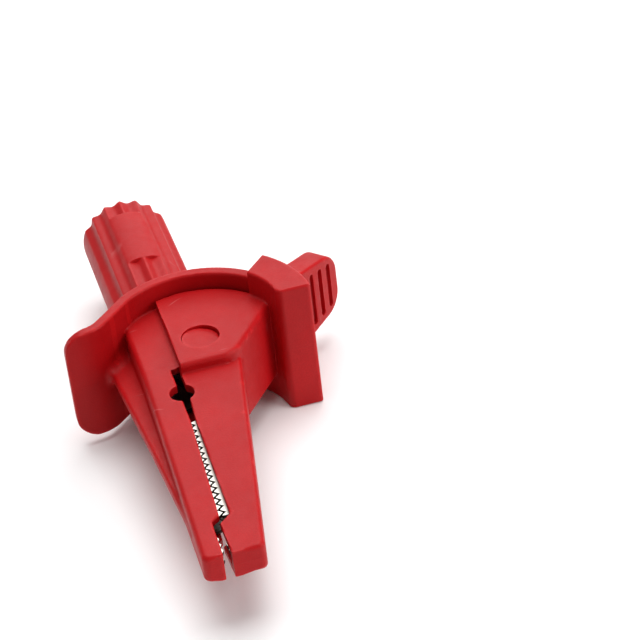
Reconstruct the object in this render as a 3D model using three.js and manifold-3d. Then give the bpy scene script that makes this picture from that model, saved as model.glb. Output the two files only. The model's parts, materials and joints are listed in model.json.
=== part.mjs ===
// Insulated alligator clip for test leads, with a 4 mm safety socket in its barrel.
// Millimetres. The clip is modelled about its jaw pivot: +X runs to the jaw tips, +Y to the thumb
// lever and +Z along the pivot pin, so the clip lies on its side. The last lines stand it on Z = 0.

import * as THREE from 'three';
import { mergeVertices } from 'three/addons/utils/BufferGeometryUtils.js';
import Module from 'manifold-3d';

const wasm = await Module();
wasm.setup();

// ---------------------------------------------------------------- driving dimensions
const GAP = 0.3;                    // clearance kept between neighbouring pieces

// Barrel: a fluted sleeve around the socket, on the lower half
const BARREL_END_X = -44.2;
const BARREL_ROOT_X = -9.7;          // the flange's curve trims the barrel short of this
const BARREL_Y = -3.2;
const BARREL_RADIUS = 7.0;
const FLUTE_PITCH = 22;             // degrees between rib crests
const FLUTE_LIMIT = 66;             // ribs run this far each side of the Z direction
const FLUTE_DEPTH = 0.55;
const FLUTE_FULLNESS = 1.4;         // 1 gives sharp ribs, 2 gives ribs as wide as the flutes
const PANEL_X = [-39.6, -25.0];     // smooth label panel between the ribs
const SHROUD_BORE_RADIUS = 4.6;     // takes the plug's safety shroud
const SHROUD_BORE_END_X = -21.0;

// Socket: a nickel-plated tube for a 4 mm plug, inside an insulating sleeve
const SOCKET_BORE_RADIUS = 2.0;
const SOCKET_RADIUS = 2.45;
const SOCKET_X = [-41.0, -10.4];
const SOCKET_BORE_END_X = -19.5;
const SLEEVE_RADIUS = 3.35;
const SLEEVE_X = [-41.5, -21.3];
const SLEEVE_FOOT_RADIUS = 4.3;

// Flange: an arc wall about the pivot that runs into the finger wing
const FLANGE_RADII = [13.3, 15.0];
const FLANGE_ANGLES = [130.3, 230];
const FLANGE_HALF_WIDTH = 9.3;
const WING_END_Y = -20.0;
const WING_THICKNESS = 1.5;
const WING_CORNER = 3.8;

// Gusset: a thin rib under the lower jaw that braces the wing, as [x, y] points along its free edge
const GUSSET_HALF_THICKNESS = 0.9;
const GUSSET_EDGE = [[-5.6, -13.55], [4.9, -12.9], [16.9, -12.1], [37, -11.05]];

// Guard: a hollow arc shell on the upper half that slides over the flange
const GUARD_RADII = [12.4, 17.65];
const GUARD_FRONT_X = -0.57;
const GUARD_REAR_ANGLES = [129.4, 132.0];
const GUARD_HALF_WIDTH = 10.84;
const GUARD_SLOT_RADII = [13.05, 15.25];
const GUARD_SLOT_ANGLES = [96.4, 134];
const GUARD_SLOT_HALF_WIDTH = 9.6;

// Ears: the side plates of the upper half, outside the cheeks of the lower half
const EAR_HALF_WIDTH = 6.73;
const EAR_INNER_HALF_WIDTH = 5.4;
const EAR_RADIUS = 12.85;
const EAR_FRONT_X = 6.0;
const EAR_LOW_Y = -4.45;

// Jaws: tapered covers over the metal blades
const JAW_ROOT_X = 4.8;
const TIP_X = 45.5;
const JAW_ROOT_HALF_WIDTH = 5.0;
const JAW_TIP_HALF_WIDTH = 2.2;
const JAW_CAVITY_HALF_WIDTHS = [3.7, 1.2];
const JAW_CAVITY_END_X = 44.3;
const LOWER_BODY_BOTTOM_Y = -10.0;
const LOWER_JAW_BOTTOM_Y = [-10.15, -11.3];  // at the jaw's root and tip
const CHEEK_RADIUS = 4.2;
const CHEEK_HALF_WIDTH = 5.1;
const CHEEK_INNER_HALF_WIDTH = 3.95;
const WIRE_HOLE = { x: 10.15, y: -5.45, radius: 1.85 };

// Pivot: snap-in bosses of the lower half in the holes of the ears, around a steel pin
const EAR_HOLE_RADIUS = 2.9;
const BOSS_RADIUS = 2.7;
const BOSS_END_Z = 6.6;
const BOSS_SLOPE = 6;               // degrees, so that the ears ride over the bosses at assembly
const PIN_RADIUS = 1.5;
const PIN_HALF_LENGTH = 5.3;
const PIN_BORE_RADIUS = 1.8;
const BUSH_RADIUS = 2.25;
const BUSH_HALF_LENGTH = 2.0;

// Blades: stamped, toothed channels of nickel-plated steel
const SHEET = 0.55;
const BLADE_HALF_WIDTHS = [3.4, 0.9];
const BLADE_END_X = 43.8;
const LOWER_EAR_HALF_WIDTH = 3.6;
const UPPER_EAR_HALF_WIDTH = 2.85;
const TOOTH_PITCH = 1.3;
const TOOTH_HEIGHT = 0.8;
const TOOTH_GAP = 0.48;
const TEETH_X = [15.4, 36.4];
const TEETH_Y = [-5.6, -6.22];         // middle of the slit between the blades, at each end of the teeth
const FRONT_TEETH_Y = -7.75;
const FRONT_TEETH_X = [40.2, 43.8];
const FRONT_TOOTH_HEIGHT = 0.3;
const FRONT_TEETH_OFFSETS = { lower: -0.3, upper: 1.0 };

// Torsion spring
const WIRE_RADIUS = 0.42;
const COIL_RADIUS = 3.0;
const COIL_HALF_LENGTH = 1.66;
const FIXED_LEG_ANGLE = 205;
const FREE_LEG_ANGLE = 140;
const COIL_TURNS = 3;
const LEG_LENGTHS = [9.0, 11.0];

// Thumb lever
const LEVER_FRONT = [-8.44, 15.94];  // a point on its grooved face
const LEVER_ANGLE = 131.7;
const LEVER_THICKNESS = 4.0;
const LEVER_START = -1.9;
const LEVER_LENGTH = 13.1;
const LEVER_HALF_WIDTHS = [6.9, 4.9];
const LEVER_CORNER = 3.2;
const GROOVES = { count: 5, first: 1.45, pitch: 2.3, halfWidth: 0.5, depth: 0.7 };

// ---------------------------------------------------------------- materials
const look = (colour, roughness, metalness) =>
  new THREE.MeshStandardMaterial({ color: colour, roughness, metalness });
const RED_PLASTIC = () => look(0xc8202a, 0.5, 0);
const BLACK_PLASTIC = () => look(0x1c1c1e, 0.5, 0);
const NICKEL = () => look(0xc9c6bf, 0.28, 1);
const SPRING_STEEL = () => look(0x8e8c88, 0.35, 1);

// ---------------------------------------------------------------- helpers
const radians = (degrees) => (degrees * Math.PI) / 180;
const polar = (radius, degrees) => [radius * Math.cos(radians(degrees)), radius * Math.sin(radians(degrees))];
const mix = (a, b, t) => a + (b - a) * t;

function solid(geometry) {
  geometry.deleteAttribute('normal');
  geometry.deleteAttribute('uv');
  const merged = mergeVertices(geometry, 1e-5);
  return new wasm.Manifold(new wasm.Mesh({
    numProp: 3,
    vertProperties: new Float32Array(merged.attributes.position.array),
    triVerts: new Uint32Array(merged.index.array),
  }));
}

function meshOf(name, body, material) {
  const { vertProperties, triVerts } = body.getMesh();
  const geometry = new THREE.BufferGeometry();
  geometry.setAttribute('position', new THREE.BufferAttribute(new Float32Array(vertProperties), 3));
  geometry.setIndex(new THREE.BufferAttribute(new Uint32Array(triVerts), 1));
  geometry.computeVertexNormals();
  const mesh = new THREE.Mesh(geometry, material);
  mesh.name = name;
  return mesh;
}

const union = (...bodies) => bodies.reduce((whole, body) => whole.add(body));
const cut = (body, ...tools) => tools.reduce((left, tool) => left.subtract(tool), body);

const outline = (points) => new THREE.Shape(points.map(([x, y]) => new THREE.Vector2(x, y)));

// An XY outline between two heights
function plate(shape, low, high) {
  const geometry = new THREE.ExtrudeGeometry(shape, { depth: high - low, bevelEnabled: false });
  return solid(geometry.translate(0, 0, low));
}

// An XY outline whose width in Z follows the jaws' taper
function tapered(points, rootHalfWidth, tipHalfWidth) {
  const geometry = new THREE.ExtrudeGeometry(outline(points), { depth: 2, bevelEnabled: false });
  geometry.translate(0, 0, -1);
  const position = geometry.attributes.position;
  for (let i = 0; i < position.count; i += 1) {
    const t = (position.getX(i) - JAW_ROOT_X) / (TIP_X - JAW_ROOT_X);
    position.setZ(i, position.getZ(i) * mix(rootHalfWidth, tipHalfWidth, t));
  }
  return solid(geometry);
}

function mirroredPlates(shape, inner, outer) {
  return union(plate(shape, inner, outer), plate(shape, -outer, -inner));
}

function arcPoints(radius, fromDegrees, toDegrees, steps, centre = [0, 0]) {
  return Array.from({ length: steps + 1 }, (_, i) => {
    const [x, y] = polar(radius, mix(fromDegrees, toDegrees, i / steps));
    return [centre[0] + x, centre[1] + y];
  });
}

function sector([innerRadius, outerRadius], [from, to], steps) {
  return outline([...arcPoints(outerRadius, from, to, steps), ...arcPoints(innerRadius, to, from, steps)]);
}

function rodZ(radius, low, high, x = 0, y = 0, sides = 40) {
  const geometry = new THREE.CylinderGeometry(radius, radius, high - low, sides);
  return solid(geometry.rotateX(Math.PI / 2).translate(x, y, (low + high) / 2));
}

// A profile of [x, radius] points turned about the barrel's axis
function turned(profile, sides) {
  const points = profile.map(([x, radius]) => new THREE.Vector2(radius, x));
  const geometry = new THREE.LatheGeometry(points, sides);
  return solid(geometry.rotateZ(-Math.PI / 2).translate(0, BARREL_Y, 0));
}

function box([x0, x1], [y0, y1], [z0, z1]) {
  const geometry = new THREE.BoxGeometry(x1 - x0, y1 - y0, z1 - z0);
  return solid(geometry.translate((x0 + x1) / 2, (y0 + y1) / 2, (z0 + z1) / 2));
}

// ---------------------------------------------------------------- lower half
// Barrel radius at an angle from the Z direction: hollow flutes between narrow ribs, then smooth bands
function barrelRadius(degrees) {
  if (Math.abs(degrees) > FLUTE_LIMIT) return BARREL_RADIUS;
  const hollow = Math.abs(Math.sin((Math.PI * degrees) / FLUTE_PITCH)) ** FLUTE_FULLNESS;
  return BARREL_RADIUS - FLUTE_DEPTH * hollow;
}

function barrelBody() {
  const section = [];
  for (const side of [0, 180]) {
    for (let degrees = -88; degrees < 90; degrees += FLUTE_PITCH / 4) {
      const [z, y] = polar(barrelRadius(degrees), degrees);
      section.push(side === 0 ? [-z, y] : [z, -y]);
    }
  }
  const length = BARREL_ROOT_X - BARREL_END_X;
  const ribs = new THREE.ExtrudeGeometry(outline(section), { depth: length, bevelEnabled: false });
  ribs.rotateY(Math.PI / 2).translate(BARREL_END_X, BARREL_Y, 0);
  const panelHeight = BARREL_RADIUS * Math.sin(radians(FLUTE_PITCH));
  const panelRadius = BARREL_RADIUS - 0.02;
  const [panelStart, panelEnd] = PANEL_X;
  const panel = turned(
    [[panelStart, 0], [panelStart, panelRadius], [panelEnd, panelRadius], [panelEnd, 0]], 48);
  const reach = box(PANEL_X, [BARREL_Y - panelHeight, BARREL_Y + panelHeight], [-8, 8]);
  const [inner, outer] = FLANGE_RADII;
  const insideFlange = rodZ((inner + outer) / 2, -8, 8, 0, 0, 96);
  return union(solid(ribs), panel.intersect(reach)).subtract(insideFlange);
}

// Centre line of the flange and wing: an arc about the pivot, then a bend down to the wing's end
function flangeAndWing() {
  const [inner, outer] = FLANGE_RADII;
  const middle = (inner + outer) / 2;
  const [from, to] = FLANGE_ANGLES;
  const bend = new THREE.CatmullRomCurve3([
    ...arcPoints(middle, to - 12, to, 2),
    [-6.7, -13.1],
    [-5.2, -15.0],
    [-4.65, -17.2],
    [-4.6, WING_END_Y],
  ].map(([x, y]) => new THREE.Vector3(x, y, 0)));
  const bendSteps = 14;
  const arc = arcPoints(middle, from, to - 12, 26).slice(0, -1).map(([x, y]) => new THREE.Vector3(x, y, 0));
  const line = [...arc, ...bend.getSpacedPoints(bendSteps)];
  const left = [];
  const right = [];
  line.forEach((point, i) => {
    const ahead = line[Math.min(i + 1, line.length - 1)];
    const behind = line[Math.max(i - 1, 0)];
    const along = ahead.clone().sub(behind).normalize();
    const wing = Math.max(0, (i - (line.length - 1 - bendSteps)) / bendSteps);
    const half = mix(outer - inner, WING_THICKNESS, wing) / 2;
    left.push([point.x - along.y * half, point.y + along.x * half]);
    right.unshift([point.x + along.y * half, point.y - along.x * half]);
  });
  const strip = plate(outline([...left, ...right]), -FLANGE_HALF_WIDTH, FLANGE_HALF_WIDTH);
  const corner = FLANGE_HALF_WIDTH - WING_CORNER;
  const cornerY = WING_END_Y + WING_CORNER;
  const front = outline([
    [FLANGE_HALF_WIDTH, 16],
    [-FLANGE_HALF_WIDTH, 16],
    ...arcPoints(WING_CORNER, 180, 270, 6, [-corner, cornerY]),
    ...arcPoints(WING_CORNER, 270, 360, 6, [corner, cornerY]),
  ]);
  const mould = new THREE.ExtrudeGeometry(front, { depth: 40, bevelEnabled: false });
  return strip.intersect(solid(mould.rotateY(Math.PI / 2).translate(-30, 0, 0)));
}

// The body behind the lower jaw and the side walls inside the ears, round about the pivot
function lowerSides() {
  const body = plate(
    outline([[-13.2, -4.75], [-9.8, LOWER_BODY_BOTTOM_Y], [4.3, LOWER_BODY_BOTTOM_Y], [4.3, -4.75]]),
    -CHEEK_HALF_WIDTH, CHEEK_HALF_WIDTH);
  const cheeks = mirroredPlates(
    outline([[-13.5, -4.9], [4.2, -4.9], ...arcPoints(CHEEK_RADIUS, 0, 150, 14), [-9, -2.6], [-13.5, -2.6]]),
    CHEEK_INNER_HALF_WIDTH, CHEEK_HALF_WIDTH);
  return union(body, cheeks);
}

function gusset() {
  const edge = [...GUSSET_EDGE].reverse();
  return plate(outline([[-9, -9], [-9, -11.5], [-7.4, -12.8], ...GUSSET_EDGE, [edge[0][0], -9.9]]),
    -GUSSET_HALF_THICKNESS, GUSSET_HALF_THICKNESS);
}

function bossesWithSlopingFaces() {
  const disc = new THREE.Shape().absarc(0, 0, BOSS_RADIUS, 0, 2 * Math.PI);
  const bosses = mirroredPlates(disc, CHEEK_HALF_WIDTH - 0.2, BOSS_END_Z);
  const slab = () => new THREE.BoxGeometry(8, 8, 2).translate(0, 0, 1);
  const middleZ = BOSS_END_Z - BOSS_RADIUS * Math.tan(radians(BOSS_SLOPE));
  const near = slab().rotateX(-radians(BOSS_SLOPE)).translate(0, 0, middleZ);
  const far = slab().translate(0, 0, -2).rotateX(radians(BOSS_SLOPE)).translate(0, 0, -middleZ);
  return cut(bosses, solid(near), solid(far));
}

function lowerHousing() {
  const jaw = tapered([
    [3.35, LOWER_JAW_BOTTOM_Y[0]], [TIP_X, LOWER_JAW_BOTTOM_Y[1]], [TIP_X, -8.37],
    [38.6, -8.2], [37.6, -6.95], [17, -5.8], [3.35, -5.8],
  ], JAW_ROOT_HALF_WIDTH, JAW_TIP_HALF_WIDTH);
  const floorY = -7.9;
  const room = plate(outline([[-16, floorY], [JAW_ROOT_X, floorY], [JAW_ROOT_X, 8], [-16, 8]]),
    -CHEEK_INNER_HALF_WIDTH, CHEEK_INNER_HALF_WIDTH).intersect(rodZ(FLANGE_RADII[0], -8, 8, 0, 0, 96));
  const cavityRootX = JAW_ROOT_X - 0.5;
  const jawCavity = tapered([
    [cavityRootX, floorY], [19.4, -8.75], [JAW_CAVITY_END_X, -9.65],
    [JAW_CAVITY_END_X, -5], [cavityRootX, -5],
  ], ...JAW_CAVITY_HALF_WIDTHS);
  const socketBore = SOCKET_RADIUS + GAP;
  const bore = turned([
    [BARREL_END_X - 1, 0], [BARREL_END_X - 1, SHROUD_BORE_RADIUS], [SHROUD_BORE_END_X, SHROUD_BORE_RADIUS],
    [SHROUD_BORE_END_X, socketBore], [-12, socketBore], [-12, 0],
  ], 32);
  const wireHole = rodZ(WIRE_HOLE.radius, -8, 8, WIRE_HOLE.x, WIRE_HOLE.y, 28);
  const pinBore = rodZ(PIN_BORE_RADIUS, -PIN_HALF_LENGTH - GAP, PIN_HALF_LENGTH + GAP, 0, 0, 28);
  return cut(union(lowerSides(), jaw, gusset(), bossesWithSlopingFaces(), flangeAndWing(), barrelBody()),
    room, jawCavity, bore, wireHole, pinBore);
}

// ---------------------------------------------------------------- upper half
function leverBody() {
  const [rootHalf, tipHalf] = LEVER_HALF_WIDTHS;
  const c = LEVER_CORNER;
  const tipSide = tipHalf - c;
  const face = outline([
    [LEVER_START, rootHalf + 0.3], [LEVER_START, -rootHalf - 0.3], [0, -rootHalf],
    ...arcPoints(c, -80, 0, 6, [LEVER_LENGTH - c, -tipSide]),
    ...arcPoints(c, 0, 80, 6, [LEVER_LENGTH - c, tipSide]),
    [0, rootHalf],
  ]);
  const slab = new THREE.ExtrudeGeometry(face, { depth: LEVER_THICKNESS, bevelEnabled: false });
  let lever = solid(slab.translate(0, 0, -LEVER_THICKNESS));
  const { count, first, pitch, halfWidth, depth } = GROOVES;
  for (let i = 0; i < count; i += 1) {
    const along = first + i * pitch;
    const half = mix(rootHalf, tipHalf, along / LEVER_LENGTH) - 1.4;
    const slot = outline([
      ...arcPoints(halfWidth, 0, 180, 6, [along, half - halfWidth]),
      ...arcPoints(halfWidth, 180, 360, 6, [along, halfWidth - half]),
    ]);
    lever = lever.subtract(plate(slot, -depth, 1));
  }
  return lever;
}

// Turns the lever's own axes, length, width and outward, to its lean and stands it on the guard
function placedLever() {
  const length = new THREE.Vector3(...polar(1, LEVER_ANGLE), 0);
  const outward = new THREE.Vector3(...polar(1, LEVER_ANGLE - 90), 0);
  const matrix = new THREE.Matrix4().makeBasis(length, new THREE.Vector3(0, 0, 1), outward);
  matrix.setPosition(LEVER_FRONT[0], LEVER_FRONT[1], 0);
  return leverBody().transform(matrix.elements);
}

function upperHousing() {
  const earLowRear = -Math.sqrt(EAR_RADIUS ** 2 - 4.2 ** 2);
  const ears = plate(outline([
    [earLowRear, -4.2], [EAR_FRONT_X, EAR_LOW_Y], [EAR_FRONT_X, 3.9], [-4.2, 11.62],
    ...arcPoints(EAR_RADIUS, 112, 198, 24),
  ]), -EAR_HALF_WIDTH, EAR_HALF_WIDTH);
  const jaw = tapered([
    [3.35, EAR_LOW_Y], [11, -4.6], [16.7, -5.03], [37.85, -5.41], [39.3, -7.2], [TIP_X, -7.12], [TIP_X, -2.5],
    [JAW_ROOT_X, 4.85], [3.35, 4.85],
  ], JAW_ROOT_HALF_WIDTH, JAW_TIP_HALF_WIDTH);
  const [innerRadius, outerRadius] = GUARD_RADII;
  const frontAngle = (radius) => (Math.acos(GUARD_FRONT_X / radius) * 180) / Math.PI;
  const guard = plate(outline([
    ...arcPoints(outerRadius, frontAngle(outerRadius), GUARD_REAR_ANGLES[1], 12),
    ...arcPoints(innerRadius, GUARD_REAR_ANGLES[0], frontAngle(innerRadius), 12),
  ]), -GUARD_HALF_WIDTH, GUARD_HALF_WIDTH);

  const slotSector = sector(GUARD_SLOT_RADII, GUARD_SLOT_ANGLES, 14);
  const slot = plate(slotSector, -GUARD_SLOT_HALF_WIDTH, GUARD_SLOT_HALF_WIDTH);
  const room = plate(outline([
    [-16, -6], [4.6, -6], [4.6, 3.35], [-4.35, 10.1],
    ...arcPoints(11.7, 115, 131, 4), ...arcPoints(16, 137, 150, 3),
  ]), -EAR_INNER_HALF_WIDTH, EAR_INNER_HALF_WIDTH);
  const jawCavity = tapered([
    [4, -9], [JAW_CAVITY_END_X, -9], [JAW_CAVITY_END_X, -3.65], [JAW_ROOT_X, 3.5], [4, 3.5],
  ], ...JAW_CAVITY_HALF_WIDTHS);
  const earHoles = rodZ(EAR_HOLE_RADIUS, -8, 8);
  const wireHole = rodZ(WIRE_HOLE.radius, -8, 8, WIRE_HOLE.x, WIRE_HOLE.y, 28);
  return cut(union(ears, jaw, guard, placedLever()), slot, room, jawCavity, earHoles, wireHole);
}

// ---------------------------------------------------------------- metal parts
const slitY = (x) => mix(...TEETH_Y, (x - TEETH_X[0]) / (TEETH_X[1] - TEETH_X[0]));
const frontSlitY = () => FRONT_TEETH_Y;

// Zigzag edge from x0 to x1; offset moves it off the slit's middle
function teeth([x0, x1], middle, offset, height) {
  const count = Math.round((x1 - x0) / (TOOTH_PITCH / 2));
  return Array.from({ length: count + 1 }, (_, i) => {
    const x = mix(x0, x1, i / count);
    return [x, middle(x) + offset + (i % 2 ? 0.5 : -0.5) * height];
  });
}

function upperBlade() {
  const side = [
    [6.0, -3.6], [14.9, -4.3], ...teeth(TEETH_X, slitY, TOOTH_GAP / 2, TOOTH_HEIGHT), [36.4, -4.95],
    [38.2, -4.95], [39.6, -6.9],
    ...teeth(FRONT_TEETH_X, frontSlitY, FRONT_TEETH_OFFSETS.upper, FRONT_TOOTH_HEIGHT),
    [BLADE_END_X, -3.95], [6.0, 2.95],
  ];
  const jaw = tapered(side, ...BLADE_HALF_WIDTHS);
  const channel = tapered([[5.8, -9], [45, -9], [45, -4.8], [5.8, 2.35]],
    BLADE_HALF_WIDTHS[0] - SHEET, BLADE_HALF_WIDTHS[1] - SHEET);
  const leg = polar(1, FREE_LEG_ANGLE);
  const [rootX, rootY] = polar(COIL_RADIUS + WIRE_RADIUS + GAP + SHEET, FREE_LEG_ANGLE - 90);
  const tailEnd = [rootX + 10.2 * leg[0], rootY + 10.2 * leg[1]];
  const [innerX, innerY] = polar(WIRE_RADIUS * 2 + GAP + SHEET + 1.2, FREE_LEG_ANGLE + 90);
  const ears = mirroredPlates(outline([
    [7.2, 1.6], [rootX, rootY], tailEnd, [tailEnd[0] + innerX, tailEnd[1] + innerY],
    ...arcPoints(3.1, 200, 300, 8), [7.2, -3.4],
  ]), UPPER_EAR_HALF_WIDTH - SHEET, UPPER_EAR_HALF_WIDTH);
  const [lowX, lowY] = polar(COIL_RADIUS + WIRE_RADIUS + GAP, FREE_LEG_ANGLE - 90);
  const web = plate(outline([
    [rootX, rootY], tailEnd, [tailEnd[0] + lowX - rootX, tailEnd[1] + lowY - rootY], [lowX, lowY],
  ]), -UPPER_EAR_HALF_WIDTH + 0.1, UPPER_EAR_HALF_WIDTH - 0.1);
  const notch = rodZ(WIRE_HOLE.radius + GAP, -8, 8, WIRE_HOLE.x, WIRE_HOLE.y, 28);
  const pinHole = rodZ(PIN_BORE_RADIUS, -8, 8, 0, 0, 28);
  return cut(union(jaw.subtract(channel), ears, web), pinHole, notch);
}

function lowerBlade() {
  const side = [
    [2.0, -7.6], [19.4, -8.45], [BLADE_END_X, -9.35],
    ...teeth(FRONT_TEETH_X, frontSlitY, FRONT_TEETH_OFFSETS.lower, FRONT_TOOTH_HEIGHT).reverse(),
    [39.8, -8.5], [36.6, -8.3],
    ...teeth(TEETH_X, slitY, -TOOTH_GAP / 2, TOOTH_HEIGHT).reverse(), [14.9, -6.6], [2.0, -6.2],
  ];
  const jaw = tapered(side, ...BLADE_HALF_WIDTHS);
  const channel = tapered([[1.8, -7.05], [19.4, -7.9], [45, -8.8], [45, -4], [1.8, -4]],
    BLADE_HALF_WIDTHS[0] - SHEET, BLADE_HALF_WIDTHS[1] - SHEET);
  const rearX = -9.5;
  const ears = mirroredPlates(outline([
    [rearX, -7.55], [4.4, -7.6], [4.4, -6.3], ...arcPoints(3.1, -20, 200, 12), [rearX, -5.6],
  ]), LOWER_EAR_HALF_WIDTH - SHEET, LOWER_EAR_HALF_WIDTH);
  const floorHalfWidth = LOWER_EAR_HALF_WIDTH - 0.05;
  const floor = box([rearX - SHEET, 4.0], [-7.55, -7.55 + SHEET], [-floorHalfWidth, floorHalfWidth]);
  const tail = box([rearX - SHEET, rearX], [-7.5, -0.9], [-3, 3]);
  const tailHole = turned([[-11, 0], [-11, 1.4], [-9, 1.4], [-9, 0]], 20);
  const notch = rodZ(WIRE_HOLE.radius + GAP, -8, 8, WIRE_HOLE.x, WIRE_HOLE.y, 28);
  const pinHole = rodZ(PIN_BORE_RADIUS, -8, 8, 0, 0, 28);
  return cut(union(jaw.subtract(channel), ears, floor, tail), pinHole, notch, tailHole);
}

const pivotPin = () => rodZ(PIN_RADIUS, -PIN_HALF_LENGTH, PIN_HALF_LENGTH, 0, 0, 28);

const pivotBush = () => rodZ(BUSH_RADIUS, -BUSH_HALF_LENGTH, BUSH_HALF_LENGTH, 0, 0, 28)
  .subtract(rodZ(PIN_BORE_RADIUS, -3, 3, 0, 0, 28));

// The plug socket: blind bore at the barrel's mouth, and a riveted stub that holds the lower blade's tail
function socketTube() {
  const [rear, front] = SOCKET_X;
  return turned([
    [SOCKET_BORE_END_X, 0], [SOCKET_BORE_END_X, SOCKET_BORE_RADIUS], [rear, SOCKET_BORE_RADIUS],
    [rear, SOCKET_RADIUS], [front, SOCKET_RADIUS], [front, 1.1],
    [-9.2, 1.1], [-9.2, 1.7], [-8.5, 1.3], [-8.5, 0],
  ], 32);
}

function socketSleeve() {
  const [rear, front] = SLEEVE_X;
  const innerRadius = SOCKET_RADIUS + GAP;
  const footX = front - 1.6;
  return turned([
    [rear, innerRadius], [rear, SLEEVE_RADIUS], [footX, SLEEVE_RADIUS], [footX, SLEEVE_FOOT_RADIUS],
    [front, SLEEVE_FOOT_RADIUS], [front, innerRadius], [rear, innerRadius],
  ], 32);
}

// ---------------------------------------------------------------- torsion spring
class CoilPath extends THREE.Curve {
  // Fixed leg, then the turns about the pin
  constructor() {
    super();
    this.startAngle = FIXED_LEG_ANGLE + 90;
    this.endAngle = FREE_LEG_ANGLE - 90 + 360 * (COIL_TURNS + 1);
    this.sweep = radians(this.endAngle - this.startAngle);
    this.coilLength = this.sweep * COIL_RADIUS;
  }

  getPoint(t, target = new THREE.Vector3()) {
    const legLength = LEG_LENGTHS[0];
    const distance = t * (legLength + this.coilLength);
    if (distance < legLength) {
      const [x, y] = polar(COIL_RADIUS, this.startAngle);
      const [dx, dy] = polar(legLength - distance, FIXED_LEG_ANGLE);
      return target.set(x + dx, y + dy, -COIL_HALF_LENGTH);
    }
    const turn = (distance - legLength) / this.coilLength;
    const [x, y] = polar(COIL_RADIUS, mix(this.startAngle, this.endAngle, turn));
    return target.set(x, y, mix(-COIL_HALF_LENGTH, COIL_HALF_LENGTH, turn));
  }
}

function wireAlong(path, steps) {
  const section = outline(arcPoints(WIRE_RADIUS, 0, 315, 7));
  return solid(new THREE.ExtrudeGeometry(section, { steps, bevelEnabled: false, extrudePath: path }));
}

const springCoil = () => wireAlong(new CoilPath(), 76);

function springFreeLeg() {
  const start = polar(COIL_RADIUS, FREE_LEG_ANGLE - 90);
  const along = polar(1, FREE_LEG_ANGLE);
  const point = (distance) => new THREE.Vector3(
    start[0] + along[0] * distance, start[1] + along[1] * distance, COIL_HALF_LENGTH);
  return wireAlong(new THREE.LineCurve3(point(GAP + 0.1), point(LEG_LENGTHS[1])), 1);
}

// ---------------------------------------------------------------- assembly
const clip = new THREE.Group();
clip.add(
  meshOf('lower_housing', lowerHousing(), RED_PLASTIC()),
  meshOf('upper_housing', upperHousing(), RED_PLASTIC()),
  meshOf('lower_jaw_blade', lowerBlade(), NICKEL()),
  meshOf('upper_jaw_blade', upperBlade(), NICKEL()),
  meshOf('pivot_pin', pivotPin(), SPRING_STEEL()),
  meshOf('pivot_bush', pivotBush(), NICKEL()),
  meshOf('torsion_spring', springCoil(), SPRING_STEEL()),
  meshOf('spring_free_leg', springFreeLeg(), SPRING_STEEL()),
  meshOf('socket_tube', socketTube(), NICKEL()),
  meshOf('socket_sleeve', socketSleeve(), BLACK_PLASTIC()),
);

const extent = new THREE.Box3().setFromObject(clip);
const middle = extent.getCenter(new THREE.Vector3());
const stand = new THREE.Group();
stand.add(clip);
clip.position.set(-middle.x, -middle.y, -extent.min.z);
stand.updateMatrixWorld(true);

export default stand;
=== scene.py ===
"""Looks of an insulated alligator clip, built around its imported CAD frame.

Shapes are worked out in millimetres about the jaw pivot, with +X to the jaw tips, +Y to the thumb
lever and +Z along the pivot pin, and then placed in the frame in metres.
"""

import json
import math

import bmesh
import bpy
import numpy as np
from mathutils import Matrix, Vector


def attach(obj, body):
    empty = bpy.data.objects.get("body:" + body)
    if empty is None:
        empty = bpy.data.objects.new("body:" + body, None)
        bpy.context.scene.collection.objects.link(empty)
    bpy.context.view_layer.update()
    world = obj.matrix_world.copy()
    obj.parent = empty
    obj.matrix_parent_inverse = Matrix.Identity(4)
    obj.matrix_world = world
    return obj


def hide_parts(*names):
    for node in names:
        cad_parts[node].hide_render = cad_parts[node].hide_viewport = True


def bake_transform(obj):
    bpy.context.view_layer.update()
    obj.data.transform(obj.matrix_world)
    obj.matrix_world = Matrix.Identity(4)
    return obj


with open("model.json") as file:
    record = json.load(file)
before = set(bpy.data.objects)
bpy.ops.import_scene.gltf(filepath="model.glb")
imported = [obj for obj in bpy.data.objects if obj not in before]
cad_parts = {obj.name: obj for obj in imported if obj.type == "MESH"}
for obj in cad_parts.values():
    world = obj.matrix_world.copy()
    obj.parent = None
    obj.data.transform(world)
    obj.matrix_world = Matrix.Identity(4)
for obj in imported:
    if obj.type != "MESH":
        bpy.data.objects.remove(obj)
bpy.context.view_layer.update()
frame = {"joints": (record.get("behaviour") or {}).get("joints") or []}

MM = 0.001
PIVOT = Vector(frame["joints"][0]["pos_m"])
FLOOR_Z = -PIVOT.z / MM
LOWER = "barrel_half"
UPPER = "lever_half"

# ---------------------------------------------------------------- driving dimensions, millimetres
# Barrel: ribs about its own axis, counted in degrees from the Z direction
BARREL_END_X = -44.2
BARREL_ROOT_X = -9.7
BARREL_Y = -3.2
BARREL_RADIUS = 7.0
FLUTE_PITCH = 22
FLUTE_LIMIT = 66
FLUTE_DEPTH = 0.55
FLUTE_FULLNESS = 1.4
# The flutes' slopes overstate the distance to them, so it is scaled down
FLUTED_SCALE = 0.85
BARREL_END_ROUNDING = 0.95
PANEL_X = (-39.6, -25.0)
PANEL_SHARPNESS = 5
SHROUD_BORE_RADIUS = 4.6
SHROUD_BORE_END_X = -21.0

SOCKET_BORE_RADIUS = 2.0
SOCKET_RADIUS = 2.45
SOCKET_X = (-41.0, -10.4)
SOCKET_BORE_END_X = -19.5
SOCKET_PASSAGE_END_X = -12
RIVET_X = (-9.2, -8.5)
RIVET_SHANK_RADIUS = 1.1
RIVET_HOLE_RADIUS = 1.4
SLEEVE_RADIUS = 3.35
SLEEVE_X = (-41.5, -21.3)
SLEEVE_FOOT_RADIUS = 4.3
SLEEVE_FOOT_LENGTH = 1.6
SLIDE_GAP = 0.3

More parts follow.
